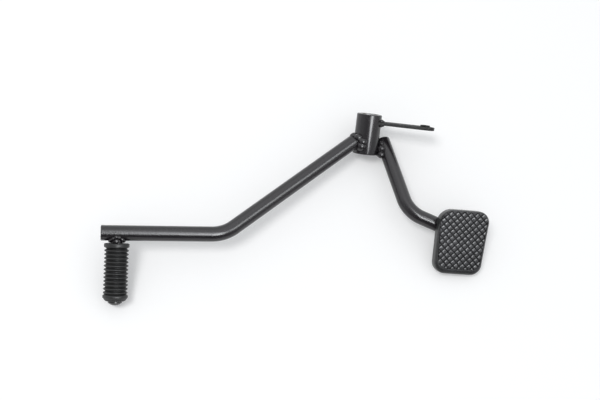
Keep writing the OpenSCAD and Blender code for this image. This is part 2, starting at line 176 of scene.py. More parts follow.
# %% Helpers shared by the materials
class Finish(Desk):
    """A material whose tree starts empty, with the object's coordinates at hand."""

    def __init__(self, name):
        self.material = bpy.data.materials.new(name)
        self.material.use_nodes = True
        super().__init__(self.material.node_tree)
        self.tree.nodes.clear()
        self.place = self.add("ShaderNodeTexCoord").outputs["Object"]

    def noise(self, size_mm, detail=2.0, roughness=0.5, stretch=None):
        """Noise whose patches are about size_mm across."""
        place = self.place
        if stretch:
            mapping = self.add("ShaderNodeMapping", None, {"Vector": place, "Scale": stretch})
            place = mapping.outputs[0]
        node = self.add("ShaderNodeTexNoise", None,
                        {"Vector": place, "Scale": 1 / (size_mm * MM), "Detail": detail,
                         "Roughness": roughness})
        return Flow(self, node.outputs["Fac"])

    def blend(self, factor, first, second):
        """One colour passing into another as factor goes from 0 to 1."""
        node = self.add("ShaderNodeMix", {"data_type": "RGBA"}, {0: factor, 6: first, 7: second})
        return node.outputs[2]

    def bump(self, height, depth_mm, under=None):
        """A Bump node: height from 0 to 1 is depth_mm deep."""
        inputs = {"Height": height, "Distance": depth_mm * MM, "Strength": 1.0}
        if under is not None:
            inputs["Normal"] = under
        return self.add("ShaderNodeBump", None, inputs).outputs[0]

    def finish(self, **surface):
        """Closes the tree with a Principled shader whose sockets are named in lower case."""
        names = {key.replace("_", " ").title().replace("Ior", "IOR"): value
                 for key, value in surface.items()}
        shader = self.add("ShaderNodeBsdfPrincipled", None, names)
        self.add("ShaderNodeOutputMaterial", None, {"Surface": shader.outputs[0]})
        return self.material


def grey(value, blue=0.0):
    """A grey that may lean to blue by a little."""
    return (value, value, value + blue, 1.0)


print("finish helper ready")

# %% Gloss black paint on bars, on the drawn tube and over welds
PAINT_BLACK, PAINT_DUST = (0.0148, 0.0128, 0.0148, 1), grey(0.09)


def paint(name, peel_mm, peel_depth, ripple_depth):
    """Black gloss: dimples peel_mm across, and over a weld a ripple; depths are in mm."""
    f = Finish(name)
    peel = f.noise(peel_mm, 1.5, 0.45)
    waves = f.noise(9, 1.0)
    dust = f.noise(0.45, 1.0).above(0.66, 0.74)
    haze = f.noise(26, 3.0).above(0.42, 0.72)
    skin = f.bump(waves, 0.05)
    if ripple_depth:
        skin = f.bump(f.noise(1.9, 2.0, 0.55), ripple_depth, skin)
    skin = f.bump(peel, peel_depth, skin)
    return f.finish(
        base_color=f.blend(dust * 0.35, PAINT_BLACK, PAINT_DUST),
        roughness=0.17 + haze * 0.08 + dust * 0.2,
        normal=skin,
        coat_weight=0.25, coat_roughness=0.05, ior=1.5)


black_paint = paint("black_paint", peel_mm=1.05, peel_depth=0.12, ripple_depth=0)
tube_paint = paint("tube_paint", peel_mm=2.2, peel_depth=0.010, ripple_depth=0)
weld_paint = paint("weld_paint", peel_mm=2.2, peel_depth=0.012, ripple_depth=0.02)
print("paints:", black_paint.name, tube_paint.name, weld_paint.name)

# %% Thin paint on sheared sheet, duller than on a drawn bar
def sheet_paint_finish():
    f = Finish("sheet_paint")
    pits = f.noise(0.9, 3.0, 0.6)
    haze = f.noise(14, 3.0).above(0.4, 0.7)
    return f.finish(
        base_color=f.blend(haze * 0.4, grey(0.014), grey(0.030)),
        roughness=0.42 + pits * 0.16 + haze * 0.08,
        normal=f.bump(pits, 0.03),
        ior=1.38)


sheet_paint = sheet_paint_finish()
print("sheet paint:", sheet_paint.name)

# %% Bare steel in the bore, dull where the pin has rubbed it
BARE_GREY, STAIN_BROWN = grey(0.38), (0.12, 0.10, 0.085, 1)


def bore_steel():
    f = Finish("bore_steel")
    turning = f.noise(0.5, 1.0, stretch=(0.05, 1.0, 0.05))
    stain = f.noise(7, 4.0).above(0.4, 0.7)
    return f.finish(
        base_color=f.blend(stain, BARE_GREY, STAIN_BROWN),
        roughness=0.30 + turning * 0.25,
        metallic=1 - stain * 0.35,
        normal=f.bump(turning, 0.01))


steel = bore_steel()
print("steel:", steel.name)

# %% [markdown]
# Rubber is moulded, so it has a fine even grain, and its worn high places shine a little more
# than its grooves, where dust stays. Its colour carries painted light and shade as well: the
# grooves are darkened as painted shade, and the crests are lightened, partly by wear and partly
# as painted light. The crests are known from the shape, so each rubber piece carries a number
# on its points that is 1 on a crest and 0 in a groove. On the pad's studs the flat tops are
# also lighter toward one corner, a painted falloff of light across the pad.

# %% Moulded rubber
def rubber(name, dark, light, rough, shine, grain_depth, ior):
    """Rubber whose grooves are darkened as painted shade and whose crests are lightened by wear
    and painted light; the crests are also smoother by shine.
    """
    f = Finish(name)
    wear_and_shading = Flow(f, f.add("ShaderNodeAttribute", {"attribute_name": "wear_and_shading"}).outputs["Fac"])
    grain = f.noise(0.35, 2.0, 0.6)
    patches = f.noise(11, 3.0).above(0.35, 0.75)
    dust = f.noise(1.2, 3.0, 0.65).above(0.55, 0.8)
    return f.finish(
        # Base colour: crests lighter by wear and painted light, grooves darker as painted shade,
        # with a little dust lightening the grooves
        base_color=f.blend(wear_and_shading * 0.6 + patches * 0.2 + (1 - wear_and_shading) * dust * 0.2, dark, light),
        roughness=rough - wear_and_shading * shine + grain * 0.10 + dust * 0.08,
        normal=f.bump(grain, grain_depth),
        ior=ior)


# The dark colour is painted shade in the grooves; the light colour is the crests, by wear and
# painted light
peg_rubber = rubber("peg_rubber", grey(0.006), grey(0.038), rough=0.42, shine=0.10,
                    grain_depth=0.02, ior=1.45)
pad_rubber = rubber("pad_rubber", grey(0.014), grey(0.080, 0.006), rough=0.22, shine=0.10,
                    grain_depth=0.003, ior=1.62)
print("rubbers:", peg_rubber.name, pad_rubber.name)

# %% [markdown]
# ## Turned pieces
# The hub, the peg, its rubber core and the eyelet are all shapes from a lathe: an outline that
# goes round an axis. Rings of points are laid round the axis and joined, and an outline that
# touches the axis closes in a single point there.

# %% Lathe and finishing helpers
def aim(origin, direction):
    """A turn and shift, in metres, that stands +Z along direction at origin."""
    turn = Vector(direction).to_track_quat("Z", "Y").to_matrix().to_4x4()
    return Matrix.Translation(Vector(origin) * MM) @ turn


def turned(profile, origin, direction, segments=128, closed=False):
    """A mesh from (radius, height) points in mm; a closed profile joins its last to its first."""
    bm = bmesh.new()
    rings = []
    for r, z in profile:
        if r == 0:
            rings.append([bm.verts.new((0, 0, z * MM))] * segments)
        else:
            rings.append([bm.verts.new((r * MM * math.cos(a), r * MM * math.sin(a), z * MM))
                          for a in np.linspace(0, 2 * math.pi, segments, endpoint=False)])
    pairs = list(zip(rings, rings[1:])) + ([(rings[-1], rings[0])] if closed else [])
    for low, high in pairs:
        for i in range(segments):
            j = (i + 1) % segments
            corners = list(dict.fromkeys((low[i], low[j], high[j], high[i])))
            if len(corners) > 2:
                bm.faces.new(corners)
    bmesh.ops.recalc_face_normals(bm, faces=bm.faces)
    mesh = bpy.data.meshes.new("turned")
    bm.to_mesh(mesh)
    bm.free()
    mesh.transform(aim(origin, direction))
    return mesh


def rounded(points, radius, steps=4):
    """The outline with each corner between its ends cut to a round of that radius."""
    out = [points[0]]
    for before, corner, after in zip(points, points[1:], points[2:]):
        b, c, a = (np.array(p, float) for p in (before, corner, after))
        back, on = unit(b - c), unit(a - c)
        reach = min(radius, 0.45 * np.linalg.norm(b - c), 0.45 * np.linalg.norm(a - c))
        for t in np.linspace(0, 1, steps + 1):
            out.append(tuple((1 - t) ** 2 * (c + reach * back) + 2 * t * (1 - t) * c
                             + t ** 2 * (c + reach * on)))
    return out + [points[-1]]


def put(name, mesh, finish, slot, *nodes, sharp=35):
    """Shows a finished mesh as a piece that rides on the lever and stands for its solids."""
    mesh.name = name
    for polygon in mesh.polygons:
        polygon.use_smooth = True
    mesh.set_sharp_from_angle(angle=math.radians(sharp))
    if finish and not mesh.materials:
        mesh.materials.append(finish)
    piece = bpy.data.objects.new(name, mesh)
    scene.collection.objects.link(piece)
    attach(piece, "root")
    if nodes:
        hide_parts(*nodes)
    triangles = sum(len(p.vertices) - 2 for p in mesh.polygons)
    print(f"{name}: {triangles} triangles")
    return piece


# %% [markdown]
# ## The pivot hub
# A 25 mm tube, cut and lightly broken at its rims. Only the bore is bare steel. A boolean tube
# would do, but a turned outline gives rims that catch light in a clean thin line.

# %% Hub
half, EDGE_BREAK = HUB_LEN / 2, 0.6
outline = rounded([(HUB_BORE_R, 0), (HUB_BORE_R, half - EDGE_BREAK),
                   (HUB_BORE_R + EDGE_BREAK, half), (HUB_R - EDGE_BREAK, half),
                   (HUB_R, half - EDGE_BREAK), (HUB_R, 0)], 0.35)
outline = outline + [(r, -z) for r, z in reversed(outline[1:-1])]
hub_mesh = turned(outline, (0, 0, 0), (0, 1, 0), closed=True)
hub_mesh.materials.append(tube_paint)
hub_mesh.materials.append(steel)
for polygon in hub_mesh.polygons:
    x, _, z = polygon.center
    polygon.material_index = int(math.hypot(x, z) < (HUB_BORE_R + 0.3) * MM)
put("hub_tube", hub_mesh, None, "black_paint", "hub")

# %% [markdown]
# ## The bent bars
# Each arm is one length of round bar with a single bend, which is a rule: a path of straight
# runs, a rounded corner, and a circle carried along it. Geometry Nodes say exactly that. The
# path's points also carry a thickness, so that the cut ends are slightly rounded over.

# %% Geometry Nodes: bar along a path
def new_tree(name, **inputs):
    """A Geometry Nodes tree with named inputs, and the sockets that give them."""
    tree = bpy.data.node_groups.new(name, "GeometryNodeTree")
    tree.interface.new_socket("Geometry", in_out="INPUT", socket_type="NodeSocketGeometry")
    for label, kind in inputs.items():
        tree.interface.new_socket(label.replace("_", " "), in_out="INPUT", socket_type=kind)
    tree.interface.new_socket("Geometry", in_out="OUTPUT", socket_type="NodeSocketGeometry")
    desk = Desk(tree)
    return desk, desk.add("NodeGroupInput").outputs


def end_tree(desk, geometry, material):
    """Every tree ends the same way: real geometry, smooth, in its finish."""
    real = desk.add("GeometryNodeRealizeInstances", None, {0: geometry})
    smooth = desk.add("GeometryNodeSetShadeSmooth", None, {0: real.outputs[0]})
    dressed = desk.add("GeometryNodeSetMaterial", None,
                       {0: smooth.outputs[0], "Material": material})
    desk.add("NodeGroupOutput", None, {0: dressed.outputs[0]})
    return desk.tree


def plain_mesh(host):
    """What an object's modifiers make of it, as a mesh with none left on it."""
    bpy.context.view_layer.update()
    seen_now = host.evaluated_get(bpy.context.evaluated_depsgraph_get())
    return bpy.data.meshes.new_from_object(seen_now)


def grow(tree, mesh, **inputs):
    """Runs a tree on a mesh and gives the result as a plain mesh."""
    host = bpy.data.objects.new("host", mesh)
    scene.collection.objects.link(host)
    modifier = host.modifiers.new("tree", "NODES")
    modifier.node_group = tree
    sockets = {item.name: item.identifier for item in tree.interface.items_tree
               if item.in_out == "INPUT"}
    for label, value in inputs.items():
        modifier[sockets[label.replace("_", " ")]] = value
    result = plain_mesh(host)
    bpy.data.objects.remove(host)
    return result


def points_mesh(points, joined=False, **numbers):
    """Loose or joined points, in mm, with named numbers on them."""
    mesh = bpy.data.meshes.new("points")
    edges = [(i, i + 1) for i in range(len(points) - 1)] if joined else []
    mesh.from_pydata([Vector(p) * MM for p in points], edges, [])
    for name, values in numbers.items():
        mesh.attributes.new(name, "FLOAT", "POINT").data.foreach_set("value", list(values))
    return mesh


def bar_tree():
    desk, given = new_tree("bent bar", Bend_Radius="NodeSocketFloat", Finish="NodeSocketMaterial")
    path = desk.add("GeometryNodeMeshToCurve", None, {0: given["Geometry"]})
    bent = desk.add("GeometryNodeFilletCurve", {"mode": "POLY"},
                    {"Curve": path.outputs[0], "Radius": given["Bend Radius"], "Count": 40})
    thickness = desk.add("GeometryNodeInputNamedAttribute", {"data_type": "FLOAT"},
                         {"Name": "thickness"})
    circle = desk.add("GeometryNodeCurvePrimitiveCircle", None, {"Resolution": 96, "Radius": 1.0})
    bar = desk.add("GeometryNodeCurveToMesh", None,
                   {"Curve": bent.outputs[0], "Profile Curve": circle.outputs[0],
                    "Scale": thickness.outputs[0], "Fill Caps": True})
    return end_tree(desk, bar.outputs[0], given["Finish"])


BAR = bar_tree()
print("bar tree:", len(BAR.nodes), "nodes")

# %% Toe arm and heel arm
END_ROUND, TOE_BEND, HEEL_BEND = 0.8, 35, 24


def arm(name, start, corner, finish, bend_r, node):
    """A bar from start to finish round one corner, its cut ends rounded over."""
    first, last = unit(corner - start), unit(finish - corner)
    turn = [(END_ROUND * (1 - math.cos(a)), BAR_R - END_ROUND * (1 - math.sin(a)))
            for a in np.linspace(0, math.pi / 2, 5)]
    path = ([start + s * first for s, _ in turn] + [corner]
            + [finish - s * last for s, _ in turn[::-1]])
    end_radii = [r * MM for _, r in turn]
    radii = end_radii + [BAR_R * MM] + end_radii[::-1]
    mesh = grow(BAR, points_mesh(path, joined=True, thickness=radii),
                Bend_Radius=bend_r * MM, Finish=black_paint)
    put(name, mesh, None, "black_paint", node)


arm("toe_bar", toe_root, toe_corner, toe_end, TOE_BEND, "toe_arm")
arm("heel_bar", heel_root, heel_corner, heel_end, HEEL_BEND, "heel_arm")

# %% [markdown]
# ## The welds
# A hand-laid weld is a row of molten drops that freeze into each other. Separate balls would
# show creases, so the drops are turned into a volume and skinned again. Blurring the skin lets
# them flow together, and a little noise keeps any two from being alike.

# %% Geometry Nodes: drops that flow together
def weld_tree():
    desk, given = new_tree("molten drops", Voxel="NodeSocketFloat", Unevenness="NodeSocketFloat",
                           Finish="NodeSocketMaterial")
    size = desk.add("GeometryNodeInputNamedAttribute", {"data_type": "FLOAT"}, {"Name": "size"})
    ball = desk.add("GeometryNodeMeshIcoSphere", None, {"Radius": 1.0, "Subdivisions": 4})
    drops = desk.add("GeometryNodeInstanceOnPoints", None,
                     {"Points": given["Geometry"], "Instance": ball.outputs[0],
                      "Scale": size.outputs[0]})
    real = desk.add("GeometryNodeRealizeInstances", None, {0: drops.outputs[0]})
    volume = desk.add("GeometryNodeMeshToVolume", {"resolution_mode": "VOXEL_SIZE"},
                      {"Mesh": real.outputs[0], "Voxel Size": given["Voxel"],
                       "Interior Band Width": 0.003})
    skin = desk.add("GeometryNodeVolumeToMesh", {"resolution_mode": "GRID"},
                    {"Volume": volume.outputs[0], "Threshold": 0.1})
    place = desk.add("GeometryNodeInputPosition")
    soft = desk.add("GeometryNodeBlurAttribute", {"data_type": "FLOAT_VECTOR"},
                    {"Value": place.outputs[0], "Iterations": 10})
    eased = desk.add("GeometryNodeSetPosition", None,
                     {"Geometry": skin.outputs[0], "Position": soft.outputs[0]})
    noise = desk.add("ShaderNodeTexNoise", None,
                     {"Vector": place.outputs[0], "Scale": 260.0, "Detail": 1.0})
    push = (Flow(desk, noise.outputs["Fac"]) - 0.55) * Flow(desk, given["Unevenness"])
    normal = desk.add("GeometryNodeInputNormal")
    offset = desk.add("ShaderNodeVectorMath", {"operation": "SCALE"},
                      {0: normal.outputs[0], "Scale": push})
    uneven = desk.add("GeometryNodeSetPosition", None,
                      {"Geometry": eased.outputs[0], "Offset": offset.outputs[0]})
    return end_tree(desk, uneven.outputs[0], given["Finish"])


DROPS = weld_tree()
VOXEL, UNEVENNESS = 0.28, 0.3


def weld(name, points, sizes, node):
    """Flows drops at points, with radii sizes, into one bead, all in mm."""
    mesh = grow(DROPS, points_mesh(points, size=[s * MM for s in sizes]), Voxel=VOXEL * MM,
                Unevenness=UNEVENNESS * MM, Finish=weld_paint)
    put(name, mesh, None, "weld_paint", node, sharp=180)


def unlike(size, share, phase):
    """No two drops are laid alike: size, more or less by up to a share of it."""
    return size * (1 + share * sin(phase))


print("weld tree:", len(DROPS.nodes), "nodes")

# %% Weld between hub and toe arm: a ring of drops and a core
RING_COUNT, RING_DROP, CORE_DROP = 7, 4.9, 6.0
ring_y = toe_target[1] - HUB_R * sin(TOE_BACK) / cos(TOE_BACK) - 0.4 * BAR_R
ring_reach = HUB_R + 0.525
points, sizes = [], []
for i in range(RING_COUNT):
    around = i * 360 / RING_COUNT + 20
    clock = TOE_CLOCK + math.degrees(1.12 * BAR_R * sin(around) / HUB_R)
    points.append((-ring_reach * cos(clock), ring_y + 0.72 * BAR_R * cos(around),
                   ring_reach * sin(clock)))
    sizes.append(unlike(RING_DROP, 0.12, 200 * i))
for t in np.linspace(0.45, 1.0, 5):
    points.append(toe_target - 0.25 * BAR_R * toe_side + t * toe_cut * toe_dir)
    sizes.append(CORE_DROP)
weld("toe_arm_bead", points, sizes, "toe_arm_weld")

# %% Weld between hub and heel arm: one run above and one below
HEEL_RUNS = ((0.78, 1.4), (-0.6, 0.56))
HEEL_DROPS = ((-8.4, 3.2), (-13.0, 4.6), (-18.6, 4.0))


def heel_crease(y, side, lift):
    """A place in the crease beside the bar, y along the hub and lift out from it."""
    middle = heel_root + (HEEL_Y - y) / cos(HEEL_BACK) * heel_dir
    away = math.hypot(middle[0], middle[2])
    out = np.array([middle[0], 0, middle[2]]) / away
    up = np.array([-out[2], 0, out[0]])
    reach = HUB_R + (away - HUB_R - BAR_R) / 2 + lift
    return np.array([0, y, 0]) + reach * out + side * BAR_R * up


points, sizes = [], []
for side, lift in HEEL_RUNS:
    for y, size in HEEL_DROPS:
        points.append(heel_crease(y, side, lift))
        sizes.append(size)
weld("heel_arm_bead", points, sizes, "heel_arm_weld")

# %% Weld on both faces of the linkage plate, flaring on to the plate
LINK_Y, LINK_T, LINK_PITCH, LINK_REACH = 12.0, 3.0, 10, 56.5
LINK_ROWS = ((0.5, 1.9), (2.6, 1.2))
LINK_DROPS, LINK_WELD_HALF = 5, 8.5
spread = 0.6 * math.degrees(math.asin(LINK_WELD_HALF / HUB_R))
points, sizes = [], []
for side in (-1, 1):
    for i in range(LINK_DROPS):
        clock = LINK_PITCH + spread * (i / 2 - 1)
        for out, size in LINK_ROWS:
            reach = HUB_R + out
            points.append((reach * cos(clock), LINK_Y + side * (LINK_T / 2 + 0.35 * size),
                           reach * sin(clock)))
            sizes.append(unlike(size, 0.06, 140 * i + 50 * side))
weld("link_bead", points, sizes, "link_weld")

# %% Weld round the foot of the toe peg
PEG_RING_COUNT, PEG_RING_R, PEG_RING_DROP = 13, 6.045, 2.15
PEG_CORE_COUNT, PEG_CORE_R, PEG_CORE_DROP = 5, 2.6, 3.3
out = unit(peg_dir - (peg_dir @ run_dir) * run_dir)
up = np.cross(run_dir, out)
points, sizes = [], []
for i in range(PEG_RING_COUNT):
    a = i * 360 / PEG_RING_COUNT
    height = math.sqrt(BAR_R ** 2 - (PEG_RING_R * sin(a)) ** 2)
    points.append(peg_foot + PEG_RING_R * cos(a) * run_dir + PEG_RING_R * sin(a) * up
                  + height * out)
    sizes.append(unlike(PEG_RING_DROP, 0.10, 170 * i))
for i in range(PEG_CORE_COUNT):
    a = i * 360 / PEG_CORE_COUNT
    points.append(peg_foot + PEG_CORE_R * cos(a) * run_dir + PEG_CORE_R * sin(a) * up
                  + (BAR_R + 0.6) * out)
    sizes.append(unlike(PEG_CORE_DROP, 0.12, 110 * i))
weld("peg_bead", points, sizes, "toe_peg_weld")

# %% The two runs under the pad, one on each side of the bar
PAD_RUN, PAD_RUN_AWAY, PAD_RUN_DROP, PAD_RUN_COUNT = 14.3, 4.2, 2.1, 6
points, sizes = [], []
for i in range(PAD_RUN_COUNT):
    for side in (-1, 1):
        along = PAD_RUN * i / (PAD_RUN_COUNT - 1)
        x = -cos(HEEL_TURN) * along + side * PAD_RUN_AWAY * sin(HEEL_TURN)
        y = PAD_INSET + sin(HEEL_TURN) * along + side * PAD_RUN_AWAY * cos(HEEL_TURN)
        points.append(pad_middle + np.array([x, 0, 0]) + y * pad_across - 0.9 * pad_up)
        sizes.append(unlike(PAD_RUN_DROP, 0.06, 130 * i))
weld("pad_bead", points, sizes, "heel_pad_weld")

# %% [markdown]
# ## The linkage plate and its eyelet
# A narrow strip cut from sheet, with an eye at its end for the rod to the gearbox. Its outline
# is drawn flat and given its thickness, and a small bevel stands for the rolled-over cut edge.

# %% Linkage plate
def link_place(y):
    """Moves a flat drawing, X along the plate, into the plate's plane."""
    turn = Matrix.Rotation(math.radians(-LINK_PITCH), 4, "Y")
    stand = Matrix.Rotation(math.pi / 2, 4, "X")
    return Matrix.Translation((0, y * MM, 0)) @ turn @ stand


def hub_wall(s):
    """How far out the hub's wall is, s mm to the side of the plate's middle line."""
    return math.sqrt(HUB_R ** 2 - s ** 2) + 0.05


LINK_HALF, EYE_R, EYE_HOLE_R = 8.6, 9.5, 4.02
taper = math.asin(-1.0 / LINK_REACH)
outline = [(hub_wall(LINK_HALF), LINK_HALF)]
outline += [(LINK_REACH + EYE_R * math.cos(a), EYE_R * math.sin(a))
            for a in np.linspace(math.pi / 2 - taper, -math.pi / 2 + taper, 33)]
outline += [(hub_wall(LINK_HALF), -LINK_HALF)]
outline += [(hub_wall(s), s) for s in np.linspace(-6.5, 6.5, 7)]
bm = bmesh.new()
rim = [bm.verts.new((x * MM, s * MM, 0)) for x, s in outline]
hole = [bm.verts.new(((LINK_REACH + EYE_HOLE_R * math.cos(a)) * MM,
                      EYE_HOLE_R * math.sin(a) * MM, 0))
        for a in np.linspace(0, 2 * math.pi, 48, endpoint=False)]
loops = [bm.edges.new((ring[i], ring[(i + 1) % len(ring)])) for ring in (rim, hole)
         for i in range(len(ring))]
bmesh.ops.triangle_fill(bm, edges=loops, use_beauty=True)
sides = bmesh.ops.extrude_face_region(bm, geom=bm.faces[:])
bmesh.ops.translate(bm, vec=(0, 0, LINK_T * MM),
                    verts=[g for g in sides["geom"] if isinstance(g, bmesh.types.BMVert)])
bmesh.ops.recalc_face_normals(bm, faces=bm.faces)
rims = [e for e in bm.edges if len(e.link_faces) == 2 and e.calc_face_angle() > 1.2
        and abs(e.verts[0].co.z - e.verts[1].co.z) < 1e-6]
bmesh.ops.bevel(bm, geom=rims, offset=0.3 * MM, segments=2, affect="EDGES", profile=0.6)
link_mesh = bpy.data.meshes.new("link")
bm.to_mesh(link_mesh)
bm.free()
link_mesh.transform(link_place(LINK_Y + LINK_T / 2))
put("link_strip", link_mesh, sheet_paint, "black_paint", "link_plate", sharp=25)

# %% Eyelet: a short turned bush with a collar on the plate's upper face
eye = (LINK_REACH * cos(LINK_PITCH), LINK_Y + LINK_T / 2, LINK_REACH * sin(LINK_PITCH))
outline = rounded([(3.1, 0), (3.1, 1.5), (4.8, 1.5), (4.8, 0), (4.0, 0), (4.0, -3.0),
                   (3.1, -3.0), (3.1, -0.5)], 0.25)
eye_mesh = turned(outline[1:-1], eye, (0, 1, 0), segments=64, closed=True)
put("link_eye_bush", eye_mesh, sheet_paint, "black_paint", "link_eyelet", sharp=40)

# %% [markdown]
# ## The toe peg
# A plain pin with a domed head that keeps the rubber on. Under the dome is a short straight
# edge, which is where the light line round the head comes from.

# %% Peg and domed head
PIN_R, HEAD_R, HEAD_EDGE, HEAD_DOME = 5, 6.3, 1.4, 2.6
RIB_COUNT, RIB_PITCH, RING_T, LAST_RING_T, END_T = 12, 3.44, 3.8, 1.6, 3.4
RUBBER_START = 9.4
RUBBER_END = RUBBER_START + RING_T + RIB_PITCH * (RIB_COUNT + 0.5) + LAST_RING_T + END_T
dome_r = (HEAD_R ** 2 + HEAD_DOME ** 2) / (2 * HEAD_DOME)
dome_half = math.degrees(math.asin(HEAD_R / dome_r))
head_top = RUBBER_END + HEAD_EDGE
outline = [(0, 4.0), (PIN_R, 4.0), (PIN_R, RUBBER_END), (HEAD_R - 0.3, RUBBER_END),
           (HEAD_R, RUBBER_END + 0.3), (HEAD_R, head_top)]
outline += [(dome_r * sin(a), head_top - dome_r * cos(dome_half) + dome_r * cos(a))
            for a in np.linspace(dome_half, 0, 13)[1:-1]]
outline += [(0, head_top + HEAD_DOME)]
put("peg_pin", turned(outline, peg_foot, peg_dir, segments=96), black_paint, "black_paint",
    "toe_peg", sharp=40)

# %% [markdown]
# ## The ribbed rubber
# Twelve equal ribs sit between two thicker rings. What repeats is made once and placed along a
# line by Geometry Nodes, with a hair of difference from rib to rib, as moulded rubber has. The
# plain sleeve under the ribs is turned as one piece and joined to them.

# %% Geometry Nodes: ribs along a line
def rib_tree():
    desk, given = new_tree("ribs on a sleeve", Ribs="NodeSocketInt", Pitch="NodeSocketFloat",
                           First="NodeSocketFloat", Unlike="NodeSocketFloat",
                           Rib="NodeSocketObject", Finish="NodeSocketMaterial")
    step = desk.add("ShaderNodeCombineXYZ", None, {"Z": given["Pitch"]})
    start = desk.add("ShaderNodeCombineXYZ", None, {"Z": given["First"]})
    line = desk.add("GeometryNodeMeshLine", None,
                    {"Count": given["Ribs"], "Start Location": start.outputs[0],
                     "Offset": step.outputs[0]})
    rib = desk.add("GeometryNodeObjectInfo", None, {"Object": given["Rib"]})
    unlike = Flow(desk, given["Unlike"])
    chance = desk.add("FunctionNodeRandomValue", {"data_type": "FLOAT"},
                      {"Min": 1 - unlike, "Max": 1.0, "Seed": 7})
    size = desk.add("ShaderNodeCombineXYZ", None,
                    {"X": chance.outputs["Value"], "Y": chance.outputs["Value"], "Z": 1.0})
    ribs = desk.add("GeometryNodeInstanceOnPoints", None,
                    {"Points": line.outputs[0], "Instance": rib.outputs["Geometry"],
                     "Scale": size.outputs[0]})
    joined = desk.add("GeometryNodeJoinGeometry")
    desk.tree.links.new(ribs.outputs[0], joined.inputs[0])
    desk.tree.links.new(given["Geometry"], joined.inputs[0])
    return end_tree(desk, joined.outputs[0], given["Finish"])


RIBS = rib_tree()
print("rib tree:", len(RIBS.nodes), "nodes")

# %% Toe rubber
def mark_wear_and_shading(mesh, low, high, height):
    """Stores on each point the number for wear and painted shading: 0 where height, in mm, is low
    or less, 1 where it is high.
    """
    wear_and_shading = mesh.attributes.get("wear_and_shading") or mesh.attributes.new("wear_and_shading", "FLOAT", "POINT")
    values = [min(max((height(v.co) - low) / (high - low), 0), 1) for v in mesh.vertices]
    wear_and_shading.data.foreach_set("value", values)


def from_axis(p):
    return math.hypot(p.x, p.y) / MM


ROOT_R, RIB_R, RING_R, SLEEVE_BORE_R, TAIL_R = 9.1, 11.0, 11.3, 5.02, 8.7
RIB_FOOT, RIB_CREST = 1.62, 0.3
ribs_start = RUBBER_START + RING_T
last_ring = ribs_start + RIB_PITCH * (RIB_COUNT + 0.5)
crest = rounded([(ROOT_R - 0.4, -RIB_FOOT), (ROOT_R, -RIB_FOOT), (RIB_R, -RIB_CREST),
                 (RIB_R, RIB_CREST), (ROOT_R, RIB_FOOT), (ROOT_R - 0.4, RIB_FOOT)], 0.35, 3)
rib_mesh = turned(crest, (0, 0, 0), (0, 0, 1), segments=96)
# Rib crests lighter by wear, grooves darker as painted shade
mark_wear_and_shading(rib_mesh, 9.6, 11.0, from_axis)
rib_host = bpy.data.objects.new("rib_pattern", rib_mesh)
sleeve = rounded([(SLEEVE_BORE_R, RUBBER_START + 0.5), (SLEEVE_BORE_R, RUBBER_START),
                  (RING_R - 0.5, RUBBER_START), (RING_R, RUBBER_START + 0.5),
                  (RING_R, ribs_start - 0.5), (ROOT_R, ribs_start + 0.5),
                  (ROOT_R, last_ring - 1.7), (RING_R, last_ring),
                  (RING_R, last_ring + LAST_RING_T), (TAIL_R + 0.5, RUBBER_END - 0.5),
                  (TAIL_R - 0.5, RUBBER_END), (SLEEVE_BORE_R, RUBBER_END),
                  (SLEEVE_BORE_R, RUBBER_END - 0.5)], 0.45, 4)
sleeve_mesh = turned(sleeve, (0, 0, 0), (0, 0, 1), segments=96)
# The sleeve's rings lighter by wear, its low parts darker as painted shade
mark_wear_and_shading(sleeve_mesh, 9.6, 11.2, from_axis)
rubber_mesh = grow(RIBS, sleeve_mesh, Ribs=RIB_COUNT, Pitch=RIB_PITCH * MM,
                   First=(ribs_start + 0.75 * RIB_PITCH) * MM, Unlike=0.012, Rib=rib_host,
                   Finish=peg_rubber)
rubber_mesh.transform(aim(peg_foot, peg_dir))
bpy.data.objects.remove(rib_host)
put("toe_rubber", rubber_mesh, None, "peg_rubber", "toe_peg_rubber", sharp=50)

# %% [markdown]
# ## The heel pad
# A rubber shoe pulled over a steel plate. Its body is a stack of outlines, one above the next:
# under the lip, out round the wall, over the rounded rim and down into the sunk field. Each
# outline has four corners with their own radii, since the pad is slightly wider inboard, and
# the field's is set in by a different amount at each corner, as the photographed rim shows.

# %% Pad outline and its stacked body
PAD_TOP, PAD_LIP, PAD_ROUND, PAD_UNDER, RIM_ARC = 8.0, 3.0, 3.0, 1.5, 68
STUD_RIM, STUD_DEPTH = 2.2, 1.9
TREAD_SHIFTS = [(0, 0.9), (-1.6, 0.9), (0, 2.6), (0, 2.6)]
W_IN, W_OUT, PAD_LEN, SKEW = 51.4, 48.2, 62.6, 1.6
CORNERS = [((W_IN / 2 + SKEW / 2, PAD_LEN / 2), (-1, -1), 11.0),
           ((-W_IN / 2 + SKEW / 2, PAD_LEN / 2), (1, -1), 15.0),
           ((-W_OUT / 2 - SKEW / 2, -PAD_LEN / 2), (1, 1), 11.0),
           ((W_OUT / 2 - SKEW / 2, -PAD_LEN / 2), (-1, 1), 11.0)]


def pad_outline(inset, shifts=((0, 0),) * 4, steps=14):
    """The pad's outline, set in by inset mm, with its corners' centres moved by shifts."""
    points = []
    for i, ((x, y), (sx, sy), r) in enumerate(CORNERS):
        x, y = x + sx * r + shifts[i][0], y + sy * r + shifts[i][1]
        r = max(r - inset, 0.5)
        points += [(x + r * cos(a), y + r * sin(a))
                   for a in np.linspace(90 * i, 90 * i + 90, steps)]
    return points


